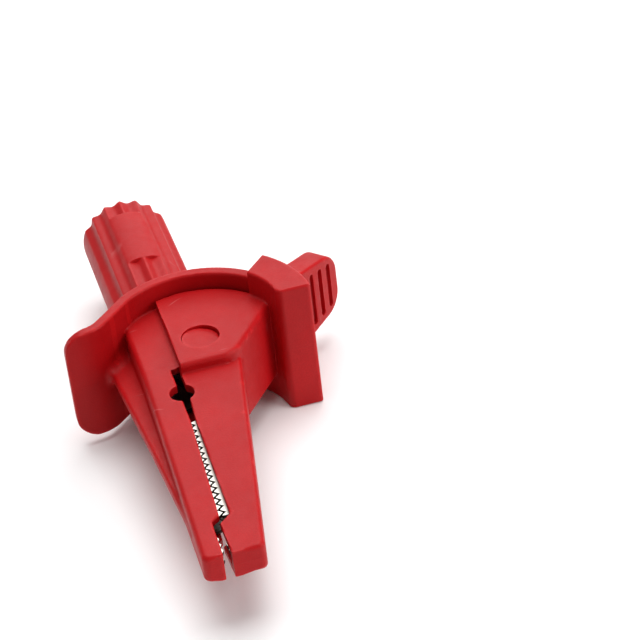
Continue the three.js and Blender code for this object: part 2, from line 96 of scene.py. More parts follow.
# Flange, finger wing and the gusset that braces it
FLANGE_MIDDLE = 14.15
FLANGE_THICKNESS = 1.7
FLANGE_ANGLES = (130.3, 218)
FLANGE_HALF_WIDTH = 9.3
FLANGE_ROUNDING = 0.35
FLANGE_STEPS = 44
WING_PATH = ((-6.7, -13.1), (-5.2, -15.0), (-4.65, -17.2), (-4.6, -20.0))
WING_THICKNESS = 1.5
WING_CORNER = 3.8
GUSSET_HALF_THICKNESS = 0.9
GUSSET_ROUNDING = 0.6
GUSSET_FILLET = 1.6
GUSSET_EDGE = ((-5.6, -13.55), (4.9, -12.9), (16.9, -12.1), (37.0, -11.05))

# Guard
GUARD_RADII = (12.4, 17.65)
GUARD_FRONT_X = -0.57
GUARD_REAR = ((-7.87, 9.58), (-11.81, 13.12))
GUARD_HALF_WIDTH = 10.84
GUARD_INNER_ROUNDING = 1.1
GUARD_OUTER_ROUNDING = 0.45
GUARD_REAR_ROUNDING = 0.3
GUARD_SIDE_ROUNDING = 0.4
GUARD_SLOT_RADII = (13.05, 15.25)
GUARD_SLOT_ANGLES = (96.4, 134)
GUARD_SLOT_HALF_WIDTH = 9.6

# Ears, cheeks and jaws
EAR_HALF_WIDTH = 6.73
EAR_INNER_HALF_WIDTH = 5.4
EAR_RADIUS = 12.85
EAR_FRONT_X = 6.0
EAR_FRONT_TOP_Y = 3.9
EAR_SLOPE_END = (-4.2, 11.62)
EAR_BOTTOM_Y = -4.35
EAR_BOTTOM_FALL = 0.014
EAR_FRONT_ROUNDING = 1.5
EAR_SIDE_ROUNDING = 0.9
EAR_BOTTOM_ROUNDING = 0.22
EAR_TOP_ROUNDING = 0.3
CHEEK_HALF_WIDTH = 5.1
CHEEK_INNER_HALF_WIDTH = 3.95
CHEEK_RADIUS = 4.2
LOWER_BODY_BOTTOM_Y = -10.0
LOWER_TIP_BOTTOM_Y = -11.3
LOWER_EDGE = {"middle_y": -8.0, "fall": 0.04, "roundings": (0.85, 0.2)}
UPPER_EDGE = {"middle_y": 0.2, "fall": 0.12, "roundings": (0.22, 0.7)}
LOWER_ROOM_X = (-16.0, 4.8)
LOWER_ROOM_FLOOR_Y = -7.9
LOWER_ROOM_RADIUS = 13.3
JAW_END_X = 45.5
CAVITY_END_X = 44.3
TAPER_X = (3.35, JAW_END_X)
TAPER_HALF_WIDTHS = (5.1, 2.2)
CAVITY_X = (4.8, JAW_END_X)
CAVITY_HALF_WIDTHS = (3.7, 1.2)
WIRE_HOLE = (10.15, -5.45)
WIRE_HOLE_RADIUS = 1.85
EAR_HOLE_RADIUS = 2.9
BOSS_RADIUS = 2.8
BOSS_FACE_Z = 6.3
BOSS_SLOPE = 0.105
PIN_BORE_RADIUS = 1.8

# Thumb lever: along its length, across its width, and out of its grooved face
LEVER_ORIGIN = (-8.44, 15.94)
LEVER_ANGLE = 131.7
LEVER_THICKNESS = 4.0
LEVER_START = -1.9
LEVER_LENGTH = 13.1
LEVER_HALF_WIDTHS = (6.9, 4.9)
LEVER_CORNER = 3.2
LEVER_ROUNDING = 0.5
GROOVE_COUNT = 5
GROOVE_FIRST = 1.45
GROOVE_PITCH = 2.3
GROOVE_HALF_WIDTH = 0.5
GROOVE_DEPTH = 0.7
GROOVE_MARGIN = 1.4
GROOVE_FLOOR_ROUNDING = 0.25
GROOVE_LIP_ROUNDING = 0.12

# Blades: stamped nickel-plated channels with a toothed edge
SHEET = 0.55
BLADE_X = (4.8, JAW_END_X)
BLADE_HALF_WIDTHS = (3.4, 0.9)
BLADE_END_X = 43.8
LOWER_EAR_HALF_WIDTH = 3.6
UPPER_EAR_HALF_WIDTH = 2.85
BLADE_EAR_RADIUS = 3.1
LOWER_FLOOR_X = (-10.05, 4.0)
TAIL_X = -9.5
TAIL_Y = (-7.5, -0.9)
TAIL_HALF_WIDTH = 3.0
TOOTH_PITCH = 1.3
TOOTH_HEIGHT = 0.75
TOOTH_GAP = 0.48
TEETH_X = (15.4, 36.4)
SLIT_Y = (-5.6, -6.22)
FRONT_TEETH_X = (40.2, 43.8)
FRONT_SLIT_Y = -7.75
FRONT_TOOTH_HEIGHT = 0.3
LOWER_FRONT_OFFSET = -0.3
UPPER_FRONT_OFFSET = 1.0

# Pivot and spring
PIN_RADIUS = 1.5
PIN_HALF_LENGTH = 5.3
BUSH_RADIUS = 2.25
BUSH_HALF_LENGTH = 2.0
WIRE_RADIUS = 0.42
COIL_RADIUS = 3.0
COIL_HALF_LENGTH = 1.66
COIL_TURNS = 3
FIXED_LEG_ANGLE = 205
FREE_LEG_ANGLE = 140
LEG_LENGTHS = (9.0, 11.0)

# Camera, about the pivot
CAMERA_AT = (292.6, -44.9, 202.8)
CAMERA_AIM = (-22.6, 23.25, FLOOR_Z)
CAMERA_ROLL = -6.72
CAMERA_LENS = 134.23

# Grid step in millimetres, and the angle in degrees past which an edge shows sharp
MOULDED = {"step": 0.27, "crease": 40}
STAMPED = {"step": 0.15, "crease": 30}
PLANE_SOFTNESS = 0.03


# ---------------------------------------------------------------- solids as signed distances
def both(a, b, radius=0.0):
    """Where two solids overlap, with the edge between their faces rounded."""
    corner = np.hypot(np.maximum(a + radius, 0), np.maximum(b + radius, 0))
    return np.minimum(-radius, np.maximum(a, b)) + corner


def join(a, b, radius=0.0):
    """Two solids as one, with a fillet between their faces."""
    return -both(-a, -b, radius)


def cut(a, b, radius=0.0):
    """The first solid without the second."""
    return both(a, -b, radius)


def within(points, x, y):
    """Signed distance from (x, y) to a closed outline."""
    nearest = np.inf
    inside = False
    for (ax, ay), (bx, by) in zip(points, points[1:] + points[:1]):
        ex, ey = bx - ax, by - ay
        along = np.clip(((x - ax) * ex + (y - ay) * ey) / (ex * ex + ey * ey), 0, 1)
        nearest = np.minimum(nearest, (x - ax - along * ex) ** 2 + (y - ay - along * ey) ** 2)
        if ey:
            inside = inside ^ (((ay > y) != (by > y)) & (x < ex * (y - ay) / ey + ax))
    return np.where(inside, -1, 1) * np.sqrt(nearest)


def arc(radius, start, end, steps, centre=(0, 0)):
    """Points on an arc, angles in degrees."""
    angles = np.radians(np.linspace(start, end, steps + 1))
    return [(centre[0] + radius * math.cos(a), centre[1] + radius * math.sin(a)) for a in angles]


def filleted(corners, steps=6):
    """A closed outline through (x, y, radius) corners, each turned on an arc."""
    points = []
    for i, (x, y, radius) in enumerate(corners):
        if not radius:
            points.append((x, y))
            continue
        corner = Vector((x, y))
        back = (Vector(corners[i - 1][:2]) - corner).normalized()
        ahead = (Vector(corners[(i + 1) % len(corners)][:2]) - corner).normalized()
        half = back.angle(ahead) / 2
        centre = corner + (back + ahead).normalized() * (radius / math.sin(half))
        first = corner + back * (radius / math.tan(half)) - centre
        last = corner + ahead * (radius / math.tan(half)) - centre
        turn = math.atan2(first.x * last.y - first.y * last.x, first.dot(last))
        start = math.degrees(math.atan2(first.y, first.x))
        points += arc(radius, start, start + math.degrees(turn), steps, centre)
    return points


def taper(x, ends, widths):
    return np.interp(x, ends, widths)


def between(value, low, high):
    """Signed distance to the layer between two parallel planes."""
    return np.abs(value - (low + high) / 2) - (high - low) / 2


def disc(x, y, radius, centre=(0, 0)):
    return np.hypot(x - centre[0], y - centre[1]) - radius


def edge_rounding(x, y, middle_y, fall, roundings):
    """Rounding of a jaw's edges below and above its middle, which lies lower towards the tip."""
    above_middle = y - middle_y + fall * np.clip(x, 0, 60)
    return np.interp(above_middle, [-0.8, 0.8], roundings)


# ---------------------------------------------------------------- meshing
def crossing_points(distance, low, high):
    """Where the surface cuts grid edges that run from a point inside to a point outside, or back."""
    a, b = distance(*low.T), distance(*high.T)
    for _ in range(3):
        share = np.clip(a / (a - b), 0.02, 0.98)[:, None]
        middle = low + share * (high - low)
        value = distance(*middle.T)
        beyond = (value < 0) == (a < 0)
        low, a = np.where(beyond[:, None], middle, low), np.where(beyond, value, a)
        high, b = np.where(beyond[:, None], high, middle), np.where(beyond, b, value)
    return low + (a / (a - b))[:, None] * (high - low)


def slopes(distance, points, probe=0.004):
    """The way out of the solid at each point."""
    slope = np.stack([distance(*(points + probe * way).T) - distance(*(points - probe * way).T)
                      for way in np.eye(3)], axis=1)
    return slope / np.maximum(np.linalg.norm(slope, axis=1), 1e-9)[:, None]


def contoured(distance, origin, step, field):
    """Faces round the surface, with one point in each grid cell where the surface's planes there meet."""
    inside = field < 0
    cells_shape = tuple(n - 1 for n in field.shape)
    quads, crossings = [], []
    for axis in range(3):
        before = np.take(inside, range(field.shape[axis] - 1), axis)
        after = np.take(inside, range(1, field.shape[axis]), axis)
        nodes = np.argwhere(before != after)
        low = origin + nodes * step
        points = crossing_points(distance, low, low + step * np.eye(3)[axis])
        crossings.append((points, slopes(distance, points)))
        ring = []
        for du, dv in ((-1, -1), (0, -1), (0, 0), (-1, 0)):
            shift = np.zeros(3, int)
            shift[(axis + 1) % 3], shift[(axis + 2) % 3] = du, dv
            ring.append(np.ravel_multi_index(tuple((nodes + shift).T), cells_shape))
        ring = np.stack(ring, axis=1)
        leaving = before[tuple(nodes.T)]
        quads.append(np.where(leaving[:, None], ring, ring[:, ::-1]))
    cells, faces = np.unique(np.concatenate(quads), return_inverse=True)
    faces = faces.reshape(-1, 4)

    points = np.repeat(np.concatenate([p for p, _ in crossings]), 4, axis=0)
    normals = np.repeat(np.concatenate([n for _, n in crossings]), 4, axis=0)
    owner = faces.ravel()

    def gathered(values):
        return np.bincount(owner, values, len(cells))

    count = gathered(np.ones(len(owner)))
    mean = np.stack([gathered(points[:, k]) for k in range(3)], axis=1) / count[:, None]
    reach = ((points - mean[owner]) * normals).sum(axis=1)
    planes = np.stack([[gathered(normals[:, i] * normals[:, k]) for k in range(3)] for i in range(3)])
    pull = np.stack([gathered(normals[:, k] * reach) for k in range(3)], axis=1)
    planes = planes.transpose(2, 0, 1) + PLANE_SOFTNESS * np.eye(3)
    corner = mean + np.linalg.solve(planes, pull[:, :, None])[:, :, 0]
    base = origin + step * np.stack(np.unravel_index(cells, cells_shape), axis=1)
    return np.clip(corner, base, base + step), faces


def mesh_object(name, points, faces):
    """A mesh object from points in millimetres about the pivot."""
    mesh = bpy.data.meshes.new(name)
    mesh.from_pydata((np.asarray(points) * MM + np.array(PIVOT)).tolist(), [], [list(f) for f in faces])
    mesh.update()
    mesh.shade_smooth()
    piece = bpy.data.objects.new(name, mesh)
    bpy.context.scene.collection.objects.link(piece)
    return piece


def meshed(name, distance, low, high, step, crease):
    """A solid given by its signed distance, meshed between two corners, with creases of some degrees."""
    origin = np.array(low) - 1.7 * step
    x, y, z = (np.arange(a, b + 2 * step, step) for a, b in zip(origin, high))
    field = distance(x[:, None, None], y[None, :, None], z[None, None, :])
    field = np.broadcast_to(field, (len(x), len(y), len(z)))
    piece = mesh_object(name, *contoured(distance, origin, step, field))
    piece.data.set_sharp_from_angle(angle=math.radians(crease))
    return piece


# ---------------------------------------------------------------- lower half
def barrel(x, y, z):
    """Sleeve with hollow flutes between narrow ribs, a smooth panel across two of them, and a rounded end."""
    from_axis = np.hypot(y - BARREL_Y, z)
    degrees = np.degrees(np.arctan2(np.abs(y - BARREL_Y), np.abs(z)))
    turn = degrees / FLUTE_PITCH
    depth = FLUTE_DEPTH * np.abs(np.sin(math.pi * turn)) ** FLUTE_FULLNESS * (degrees < FLUTE_LIMIT)
    inside_ends = PANEL_SHARPNESS * np.minimum(x - PANEL_X[0], PANEL_X[1] - x) + 0.5
    in_panel = np.clip(inside_ends, 0, 1) * (degrees < FLUTE_PITCH)
    ribs = (from_axis - BARREL_RADIUS + depth * (1 - in_panel)) * FLUTED_SCALE
    sleeve = both(both(ribs, BARREL_END_X - x, BARREL_END_ROUNDING), x - BARREL_ROOT_X)
    return cut(sleeve, np.hypot(x, y) - FLANGE_MIDDLE)


def flange_outline():
    """The arc wall about the pivot and the wing that it bends into, seen along the pin."""
    centre = arc(FLANGE_MIDDLE, *FLANGE_ANGLES, FLANGE_STEPS)
    # A smooth cubic from the arc's end through the wing's points, led in by two points of the arc
    bend = [Vector(p) for p in centre[-6:-3:2]] + [Vector(centre[-1])] + [Vector(p) for p in WING_PATH]
    for i in range(2, len(bend) - 1):
        before, here, there = bend[i - 1], bend[i], bend[i + 1]
        after = bend[i + 2] if i + 2 < len(bend) else there * 2 - here
        for t in np.linspace(0, 1, 9)[1:]:
            pull = (there - before) * 0.5
            push = (after - here) * 0.5
            point = (
                here * (2 * t ** 3 - 3 * t ** 2 + 1) + pull * (t ** 3 - 2 * t ** 2 + t)
                + there * (3 * t ** 2 - 2 * t ** 3) + push * (t ** 3 - t ** 2)
            )
            centre.append(tuple(point))
    line = np.array(centre)
    along = np.gradient(line, axis=0)
    along /= np.linalg.norm(along, axis=1)[:, None]
    normal = np.stack([-along[:, 1], along[:, 0]], axis=1)
    steps = np.arange(len(line))
    half = np.interp(steps, [FLANGE_STEPS, len(line) - 1], [FLANGE_THICKNESS / 2, WING_THICKNESS / 2])
    half = half[:, None]
    left, right = line + normal * half, line - normal * half
    return [tuple(p) for p in left] + [tuple(p) for p in right[::-1]]


FLANGE_OUTLINE = flange_outline()
LOWER_OUTLINE = filleted([
    (-13.2, -4.75, 0), (-9.8, LOWER_BODY_BOTTOM_Y, 0), (3.35, LOWER_BODY_BOTTOM_Y, 0),
    (JAW_END_X, LOWER_TIP_BOTTOM_Y, 1.0), (JAW_END_X, -8.37, 0.3), (38.6, -8.2, 0.5),
    (37.6, -6.95, 0.4),
    (17.0, -5.8, 0), (4.3, -5.8, 0.35), (4.3, -4.75, 0.2),
])
LOWER_CAVITY = [(4.3, -7.9), (19.4, -8.75), (CAVITY_END_X, -9.65), (CAVITY_END_X, -5), (4.3, -5)]
CHEEK_OUTLINE = [(-13.5, -4.9), (4.2, -4.9)] + arc(CHEEK_RADIUS, 0, 150, 24) + [(-9, -2.6), (-13.5, -2.6)]
GUSSET_OUTLINE = [(-9, -9), (-9, -11.5), (-7.4, -12.8), *GUSSET_EDGE, (GUSSET_EDGE[-1][0], -9.9)]


def lower_housing(x, y, z):
    side = np.abs(z)
    from_pivot = np.hypot(x, y)
    from_axis = np.hypot(y - BARREL_Y, z)
    width = side - taper(x, TAPER_X, TAPER_HALF_WIDTHS)
    body = both(within(LOWER_OUTLINE, x, y), width, edge_rounding(x, y, **LOWER_EDGE))
    gusset = both(within(GUSSET_OUTLINE, x, y), side - GUSSET_HALF_THICKNESS, GUSSET_ROUNDING)
    wing_side = both(side - FLANGE_HALF_WIDTH, WING_PATH[-1][1] - y, WING_CORNER)
    flange = both(within(FLANGE_OUTLINE, x, y), wing_side, FLANGE_ROUNDING)
    body = join(body, join(flange, gusset, GUSSET_FILLET), 0.3)
    body = join(body, barrel(x, y, z), 0.2)
    cheek_side = between(side, CHEEK_INNER_HALF_WIDTH, CHEEK_HALF_WIDTH)
    body = join(body, both(within(CHEEK_OUTLINE, x, y), cheek_side, 0.1))

    room = np.maximum(between(x, *LOWER_ROOM_X), LOWER_ROOM_FLOOR_Y - y)
    room = both(room, side - CHEEK_INNER_HALF_WIDTH, 0.2)
    body = cut(body, both(room, from_pivot - LOWER_ROOM_RADIUS), 0.1)
    cavity = both(within(LOWER_CAVITY, x, y), side - taper(x, CAVITY_X, CAVITY_HALF_WIDTHS), 0.15)
    body = cut(body, cavity, 0.1)
    shroud = both(from_axis - SHROUD_BORE_RADIUS, x - SHROUD_BORE_END_X)
    through = both(from_axis - SOCKET_RADIUS - SLIDE_GAP, x - SOCKET_PASSAGE_END_X)
    body = cut(body, np.minimum(shroud, through), 0.35)
    boss = both(from_pivot - BOSS_RADIUS, side + BOSS_SLOPE * y - BOSS_FACE_Z, 0.08)
    body = join(body, both(boss, CHEEK_HALF_WIDTH - 0.2 - side))
    body = cut(body, disc(x, y, WIRE_HOLE_RADIUS, WIRE_HOLE), 0.12)
    return cut(body, both(from_pivot - PIN_BORE_RADIUS, side - PIN_HALF_LENGTH - SLIDE_GAP))


# ---------------------------------------------------------------- upper half
UPPER_OUTLINE = filleted([
    (3.35, -4.45, 0), (11.0, -4.6, 0), (16.7, -5.03, 0), (37.85, -5.41, 0.4), (39.3, -7.2, 0.5),
    (JAW_END_X, -7.12, 0.25), (JAW_END_X, -2.5, 0.9), (4.8, 4.85, 0), (3.35, 4.85, 0),
])
UPPER_CAVITY = [(4, -9), (CAVITY_END_X, -9), (CAVITY_END_X, -3.65), (4.8, 3.5), (4, 3.5)]
UPPER_ROOM = (
    [(-16, -6), (4.6, -6), (4.6, 3.35), (-4.35, 10.1)] + arc(11.7, 115, 131, 8) + arc(16, 137, 150, 4)
)


def lever(x, y, z):
    lean = math.radians(LEVER_ANGLE)
    dx, dy = x - LEVER_ORIGIN[0], y - LEVER_ORIGIN[1]
    along = dx * math.cos(lean) + dy * math.sin(lean)
    out = dx * math.sin(lean) - dy * math.cos(lean)
    across = np.abs(z)
    half = np.interp(along, [0, LEVER_LENGTH], LEVER_HALF_WIDTHS)
    plan = both(across - half, along - LEVER_LENGTH, LEVER_CORNER)
    slab = between(out, -LEVER_THICKNESS, 0)
    body = both(both(plan, slab, LEVER_ROUNDING), LEVER_START - along)
    for i in range(GROOVE_COUNT):
        middle = GROOVE_FIRST + i * GROOVE_PITCH
        reach = np.interp(middle, [0, LEVER_LENGTH], LEVER_HALF_WIDTHS) - GROOVE_MARGIN - GROOVE_HALF_WIDTH
        groove = np.hypot(along - middle, np.maximum(across - reach, 0)) - GROOVE_HALF_WIDTH
        groove = both(groove, -GROOVE_DEPTH - out, GROOVE_FLOOR_ROUNDING)
        body = cut(body, groove, GROOVE_LIP_ROUNDING)
    return body


def guard(x, y, z):
    from_pivot = np.hypot(x, y)
    (ax, ay), (bx, by) = GUARD_REAR
    length = math.hypot(bx - ax, by - ay)
    rear = ((x - ax) * (ay - by) + (y - ay) * (bx - ax)) / length
    inner = both(GUARD_RADII[0] - from_pivot, x - GUARD_FRONT_X, GUARD_INNER_ROUNDING)
    outer = both(from_pivot - GUARD_RADII[1], x - GUARD_FRONT_X, GUARD_OUTER_ROUNDING)
    wall = both(both(inner, outer), rear, GUARD_REAR_ROUNDING)
    return both(both(wall, -y), np.abs(z) - GUARD_HALF_WIDTH, GUARD_SIDE_ROUNDING)


def upper_housing(x, y, z):
    side = np.abs(z)
    from_pivot = np.hypot(x, y)
    ex, ey = EAR_SLOPE_END[0] - EAR_FRONT_X, EAR_SLOPE_END[1] - EAR_FRONT_TOP_Y
    slope = ((x - EAR_FRONT_X) * ey - (y - EAR_FRONT_TOP_Y) * ex) / math.hypot(ex, ey)
    ear = both(x - EAR_FRONT_X, slope, EAR_FRONT_ROUNDING)
    ear = both(ear, side - EAR_HALF_WIDTH, EAR_SIDE_ROUNDING)
    ear = both(ear, EAR_BOTTOM_Y - EAR_BOTTOM_FALL * x - y, EAR_BOTTOM_ROUNDING)
    ear = both(ear, from_pivot - EAR_RADIUS, EAR_TOP_ROUNDING)
    width = side - taper(x, TAPER_X, TAPER_HALF_WIDTHS)
    jaw = both(within(UPPER_OUTLINE, x, y), width, edge_rounding(x, y, **UPPER_EDGE))
    body = join(ear, jaw, 0.3)
    body = join(body, guard(x, y, z), 0.35)
    body = join(body, lever(x, y, z), 0.8)

    start, end = GUARD_SLOT_ANGLES
    slot = np.maximum(GUARD_SLOT_RADII[0] - from_pivot, from_pivot - GUARD_SLOT_RADII[1])
    angle = np.degrees(np.arctan2(y, x))
    slot = both(slot, np.radians(start - angle) * GUARD_SLOT_RADII[0], 0.3)
    slot = both(slot, np.radians(angle - end - 20) * GUARD_SLOT_RADII[0])
    body = cut(body, both(slot, side - GUARD_SLOT_HALF_WIDTH, 0.3), 0.2)
    body = cut(body, both(within(UPPER_ROOM, x, y), side - EAR_INNER_HALF_WIDTH, 0.2), 0.15)
    cavity = both(within(UPPER_CAVITY, x, y), side - taper(x, CAVITY_X, CAVITY_HALF_WIDTHS), 0.15)
    body = cut(body, cavity, 0.1)
    body = cut(body, from_pivot - EAR_HOLE_RADIUS, 0.05)
    return cut(body, disc(x, y, WIRE_HOLE_RADIUS, WIRE_HOLE), 0.12)


# ---------------------------------------------------------------- blades
def zigzag(ends, middle, offset, height):
    """Teeth of some height, at an offset from a line that runs between the middle's two y values."""
    count = round((ends[1] - ends[0]) / (TOOTH_PITCH / 2))
    points = []
    for i, x in enumerate(np.linspace(*ends, count + 1)):
        swing = 0.5 if i % 2 else -0.5
        points.append((x, np.interp(x, ends, middle) + offset + swing * height))
    return points


FRONT_MIDDLE = (FRONT_SLIT_Y, FRONT_SLIT_Y)
LOWER_BLADE = (
    [(2.0, -7.6), (19.4, -8.45), (BLADE_END_X, -9.35)]
    + zigzag(FRONT_TEETH_X, FRONT_MIDDLE, LOWER_FRONT_OFFSET, FRONT_TOOTH_HEIGHT)[::-1]
    + [(39.8, -8.5), (36.6, -8.3)]
    + zigzag(TEETH_X, SLIT_Y, -TOOTH_GAP / 2, TOOTH_HEIGHT)[::-1]
    + [(14.9, -6.6), (2.0, -6.2)]
)
LOWER_CHANNEL = [(1.8, -7.05), (19.4, -7.9), (45, -8.8), (45, -4), (1.8, -4)]
LOWER_BLADE_EAR = (
    [(TAIL_X, -7.55), (4.4, -7.6), (4.4, -6.3)] + arc(BLADE_EAR_RADIUS, -20, 200, 24) + [(TAIL_X, -5.6)]
)
UPPER_BLADE = (
    [(6.0, -3.6), (14.9, -4.3)]
    + zigzag(TEETH_X, SLIT_Y, TOOTH_GAP / 2, TOOTH_HEIGHT)
    + [(36.4, -4.95), (38.2, -4.95), (39.6, -6.9)]
    + zigzag(FRONT_TEETH_X, FRONT_MIDDLE, UPPER_FRONT_OFFSET, FRONT_TOOTH_HEIGHT)
    + [(BLADE_END_X, -3.95), (6.0, 2.95)]
)
UPPER_CHANNEL = [(5.8, -9), (45, -9), (45, -4.8), (5.8, 2.35)]


def ear_side(z, half_width):
    """Two sheets standing half_width out from the middle."""
    return np.abs(np.abs(z) - half_width + SHEET / 2) - SHEET / 2


def blade_jaw(outline, channel, x, y, z):
    side = np.abs(z)
    half = taper(x, BLADE_X, BLADE_HALF_WIDTHS)
    bent = both(within(outline, x, y), side - half)
    return cut(bent, both(within(channel, x, y), side - half + SHEET, 0.2))


def pierced(body, x, y):
    """A blade with its holes for the pin and for a wire."""
    body = cut(body, disc(x, y, PIN_BORE_RADIUS))
    return cut(body, disc(x, y, WIRE_HOLE_RADIUS + SLIDE_GAP, WIRE_HOLE))


def lower_blade(x, y, z):
    body = blade_jaw(LOWER_BLADE, LOWER_CHANNEL, x, y, z)
    body = join(body, both(within(LOWER_BLADE_EAR, x, y), ear_side(z, LOWER_EAR_HALF_WIDTH)))
    floor = both(between(x, *LOWER_FLOOR_X), np.abs(y + 7.275) - SHEET / 2)
    body = join(body, both(floor, np.abs(z) - LOWER_EAR_HALF_WIDTH + 0.05), 0.2)
    tail = both(np.abs(x - TAIL_X + SHEET / 2) - SHEET / 2, between(y, *TAIL_Y), 0.08)
    body = join(body, both(tail, np.abs(z) - TAIL_HALF_WIDTH, 0.4), 0.2)
    body = cut(body, both(np.hypot(y - BARREL_Y, z) - RIVET_HOLE_RADIUS, between(x, -11, -9)))
    return pierced(body, x, y)


def upper_blade_tail():
    """Side and floor outlines of the tail that the spring's free leg presses on."""
    lean = math.radians(FREE_LEG_ANGLE)
    along = Vector((math.cos(lean), math.sin(lean)))
    out = Vector((math.sin(lean), -math.cos(lean)))
    root = out * (COIL_RADIUS + WIRE_RADIUS + SLIDE_GAP + SHEET)
    end = root + along * 10.2
    inner = end - out * (WIRE_RADIUS * 2 + SLIDE_GAP + SHEET + 1.2)
    low = root - out * SHEET
    sides = [(7.2, 1.6), tuple(root), tuple(end), tuple(inner)]
    sides += arc(BLADE_EAR_RADIUS, 200, 300, 12) + [(7.2, -3.4)]
    return sides, [tuple(root), tuple(end), tuple(end - out * SHEET), tuple(low)]


TAIL_SIDES, TAIL_FLOOR = upper_blade_tail()


def upper_blade(x, y, z):
    body = blade_jaw(UPPER_BLADE, UPPER_CHANNEL, x, y, z)
    body = join(body, both(within(TAIL_SIDES, x, y), ear_side(z, UPPER_EAR_HALF_WIDTH)))
    web = both(within(TAIL_FLOOR, x, y), np.abs(z) - UPPER_EAR_HALF_WIDTH + 0.1, 0.1)
    return pierced(join(body, web, 0.2), x, y)


# ---------------------------------------------------------------- turned pieces and the spring
def turned(name, profile, along, out, centre, sides=72):
    """A closed (distance, radius) profile swept about an axis; on-axis points become one."""
    side = Vector(along).cross(Vector(out))
    points = []
    for turn in range(sides):
        angle = 2 * math.pi * turn / sides
        way = Vector(out) * math.cos(angle) + side * math.sin(angle)
        points += [tuple(Vector(centre) + Vector(along) * d + way * r) for d, r in profile]
    count = len(profile)
    faces = []
    for turn in range(sides):
        here, there = turn * count, (turn + 1) % sides * count
        for i in range(count):
            j = (i + 1) % count
            faces.append((here + i, here + j, there + j, there + i))
    piece = mesh_object(name, points, faces)
    edit = bmesh.new()
    edit.from_mesh(piece.data)
    bmesh.ops.remove_doubles(edit, verts=edit.verts, dist=1e-7)
    bmesh.ops.dissolve_degenerate(edit, edges=edit.edges, dist=1e-7)
    bmesh.ops.recalc_face_normals(edit, faces=edit.faces)
    edit.to_mesh(piece.data)
    edit.free()
    piece.data.shade_smooth()
    weighted = piece.modifiers.new("flat faces stay flat", "WEIGHTED_NORMAL")
    weighted.weight = 100
    return piece


def on_barrel_axis(name, profile):
    return turned(name, profile, (1, 0, 0), (0, 1, 0), (0, BARREL_Y, 0))


def on_pin_axis(name, profile):
    return turned(name, profile, (0, 0, 1), (1, 0, 0), (0, 0, 0))


def spring_path():
    """Points along the wire: the fixed leg, the turns and the free leg."""
    start, end = FIXED_LEG_ANGLE + 90, FREE_LEG_ANGLE - 90 + 360 * (COIL_TURNS + 1)
    turns = arc(COIL_RADIUS, start, end, 96)
    points = []
    leg = math.radians(FIXED_LEG_ANGLE)
    x, y = turns[0]
    for reach in np.linspace(LEG_LENGTHS[0], 0, 8)[:-1]:
        points.append((x + reach * math.cos(leg), y + reach * math.sin(leg), -COIL_HALF_LENGTH))
    heights = np.linspace(-COIL_HALF_LENGTH, COIL_HALF_LENGTH, len(turns))
    points += [(x, y, z) for (x, y), z in zip(turns, heights)]
    leg = math.radians(FREE_LEG_ANGLE)
    x, y = turns[-1]
    for reach in np.linspace(0, LEG_LENGTHS[1], 8)[1:]:
        points.append((x + reach * math.cos(leg), y + reach * math.sin(leg), COIL_HALF_LENGTH))
    return np.array(points)


def torsion_spring():
    sides = 14
    path = spring_path()
    along = np.gradient(path, axis=0)
    along /= np.linalg.norm(along, axis=1)[:, None]
    across = np.cross(along, (0, 0, 1))
    across /= np.linalg.norm(across, axis=1)[:, None]
    up = np.cross(across, along)
    angles = np.linspace(0, 2 * math.pi, sides, endpoint=False)
    rings = [
        point + WIRE_RADIUS * (np.cos(angles)[:, None] * a + np.sin(angles)[:, None] * u)
        for point, a, u in zip(path, across, up)
    ]
    faces = []
    for ring in range(len(rings) - 1):
        for i in range(sides):
            j = (i + 1) % sides
            low, high = ring * sides, (ring + 1) * sides
            faces.append((low + i, high + i, high + j, low + j))
    last = (len(rings) - 1) * sides
    faces.append(tuple(range(sides)))
    faces.append(tuple(last + i for i in reversed(range(sides))))
    spring = mesh_object("spring_wire", np.concatenate(rings), faces)
    bevel = spring.modifiers.new("cut ends", "BEVEL")
    bevel.width = 0.08 * MM
    bevel.segments = 2
    bevel.limit_method = "ANGLE"
    bevel.angle_limit = math.radians(60)
    return spring


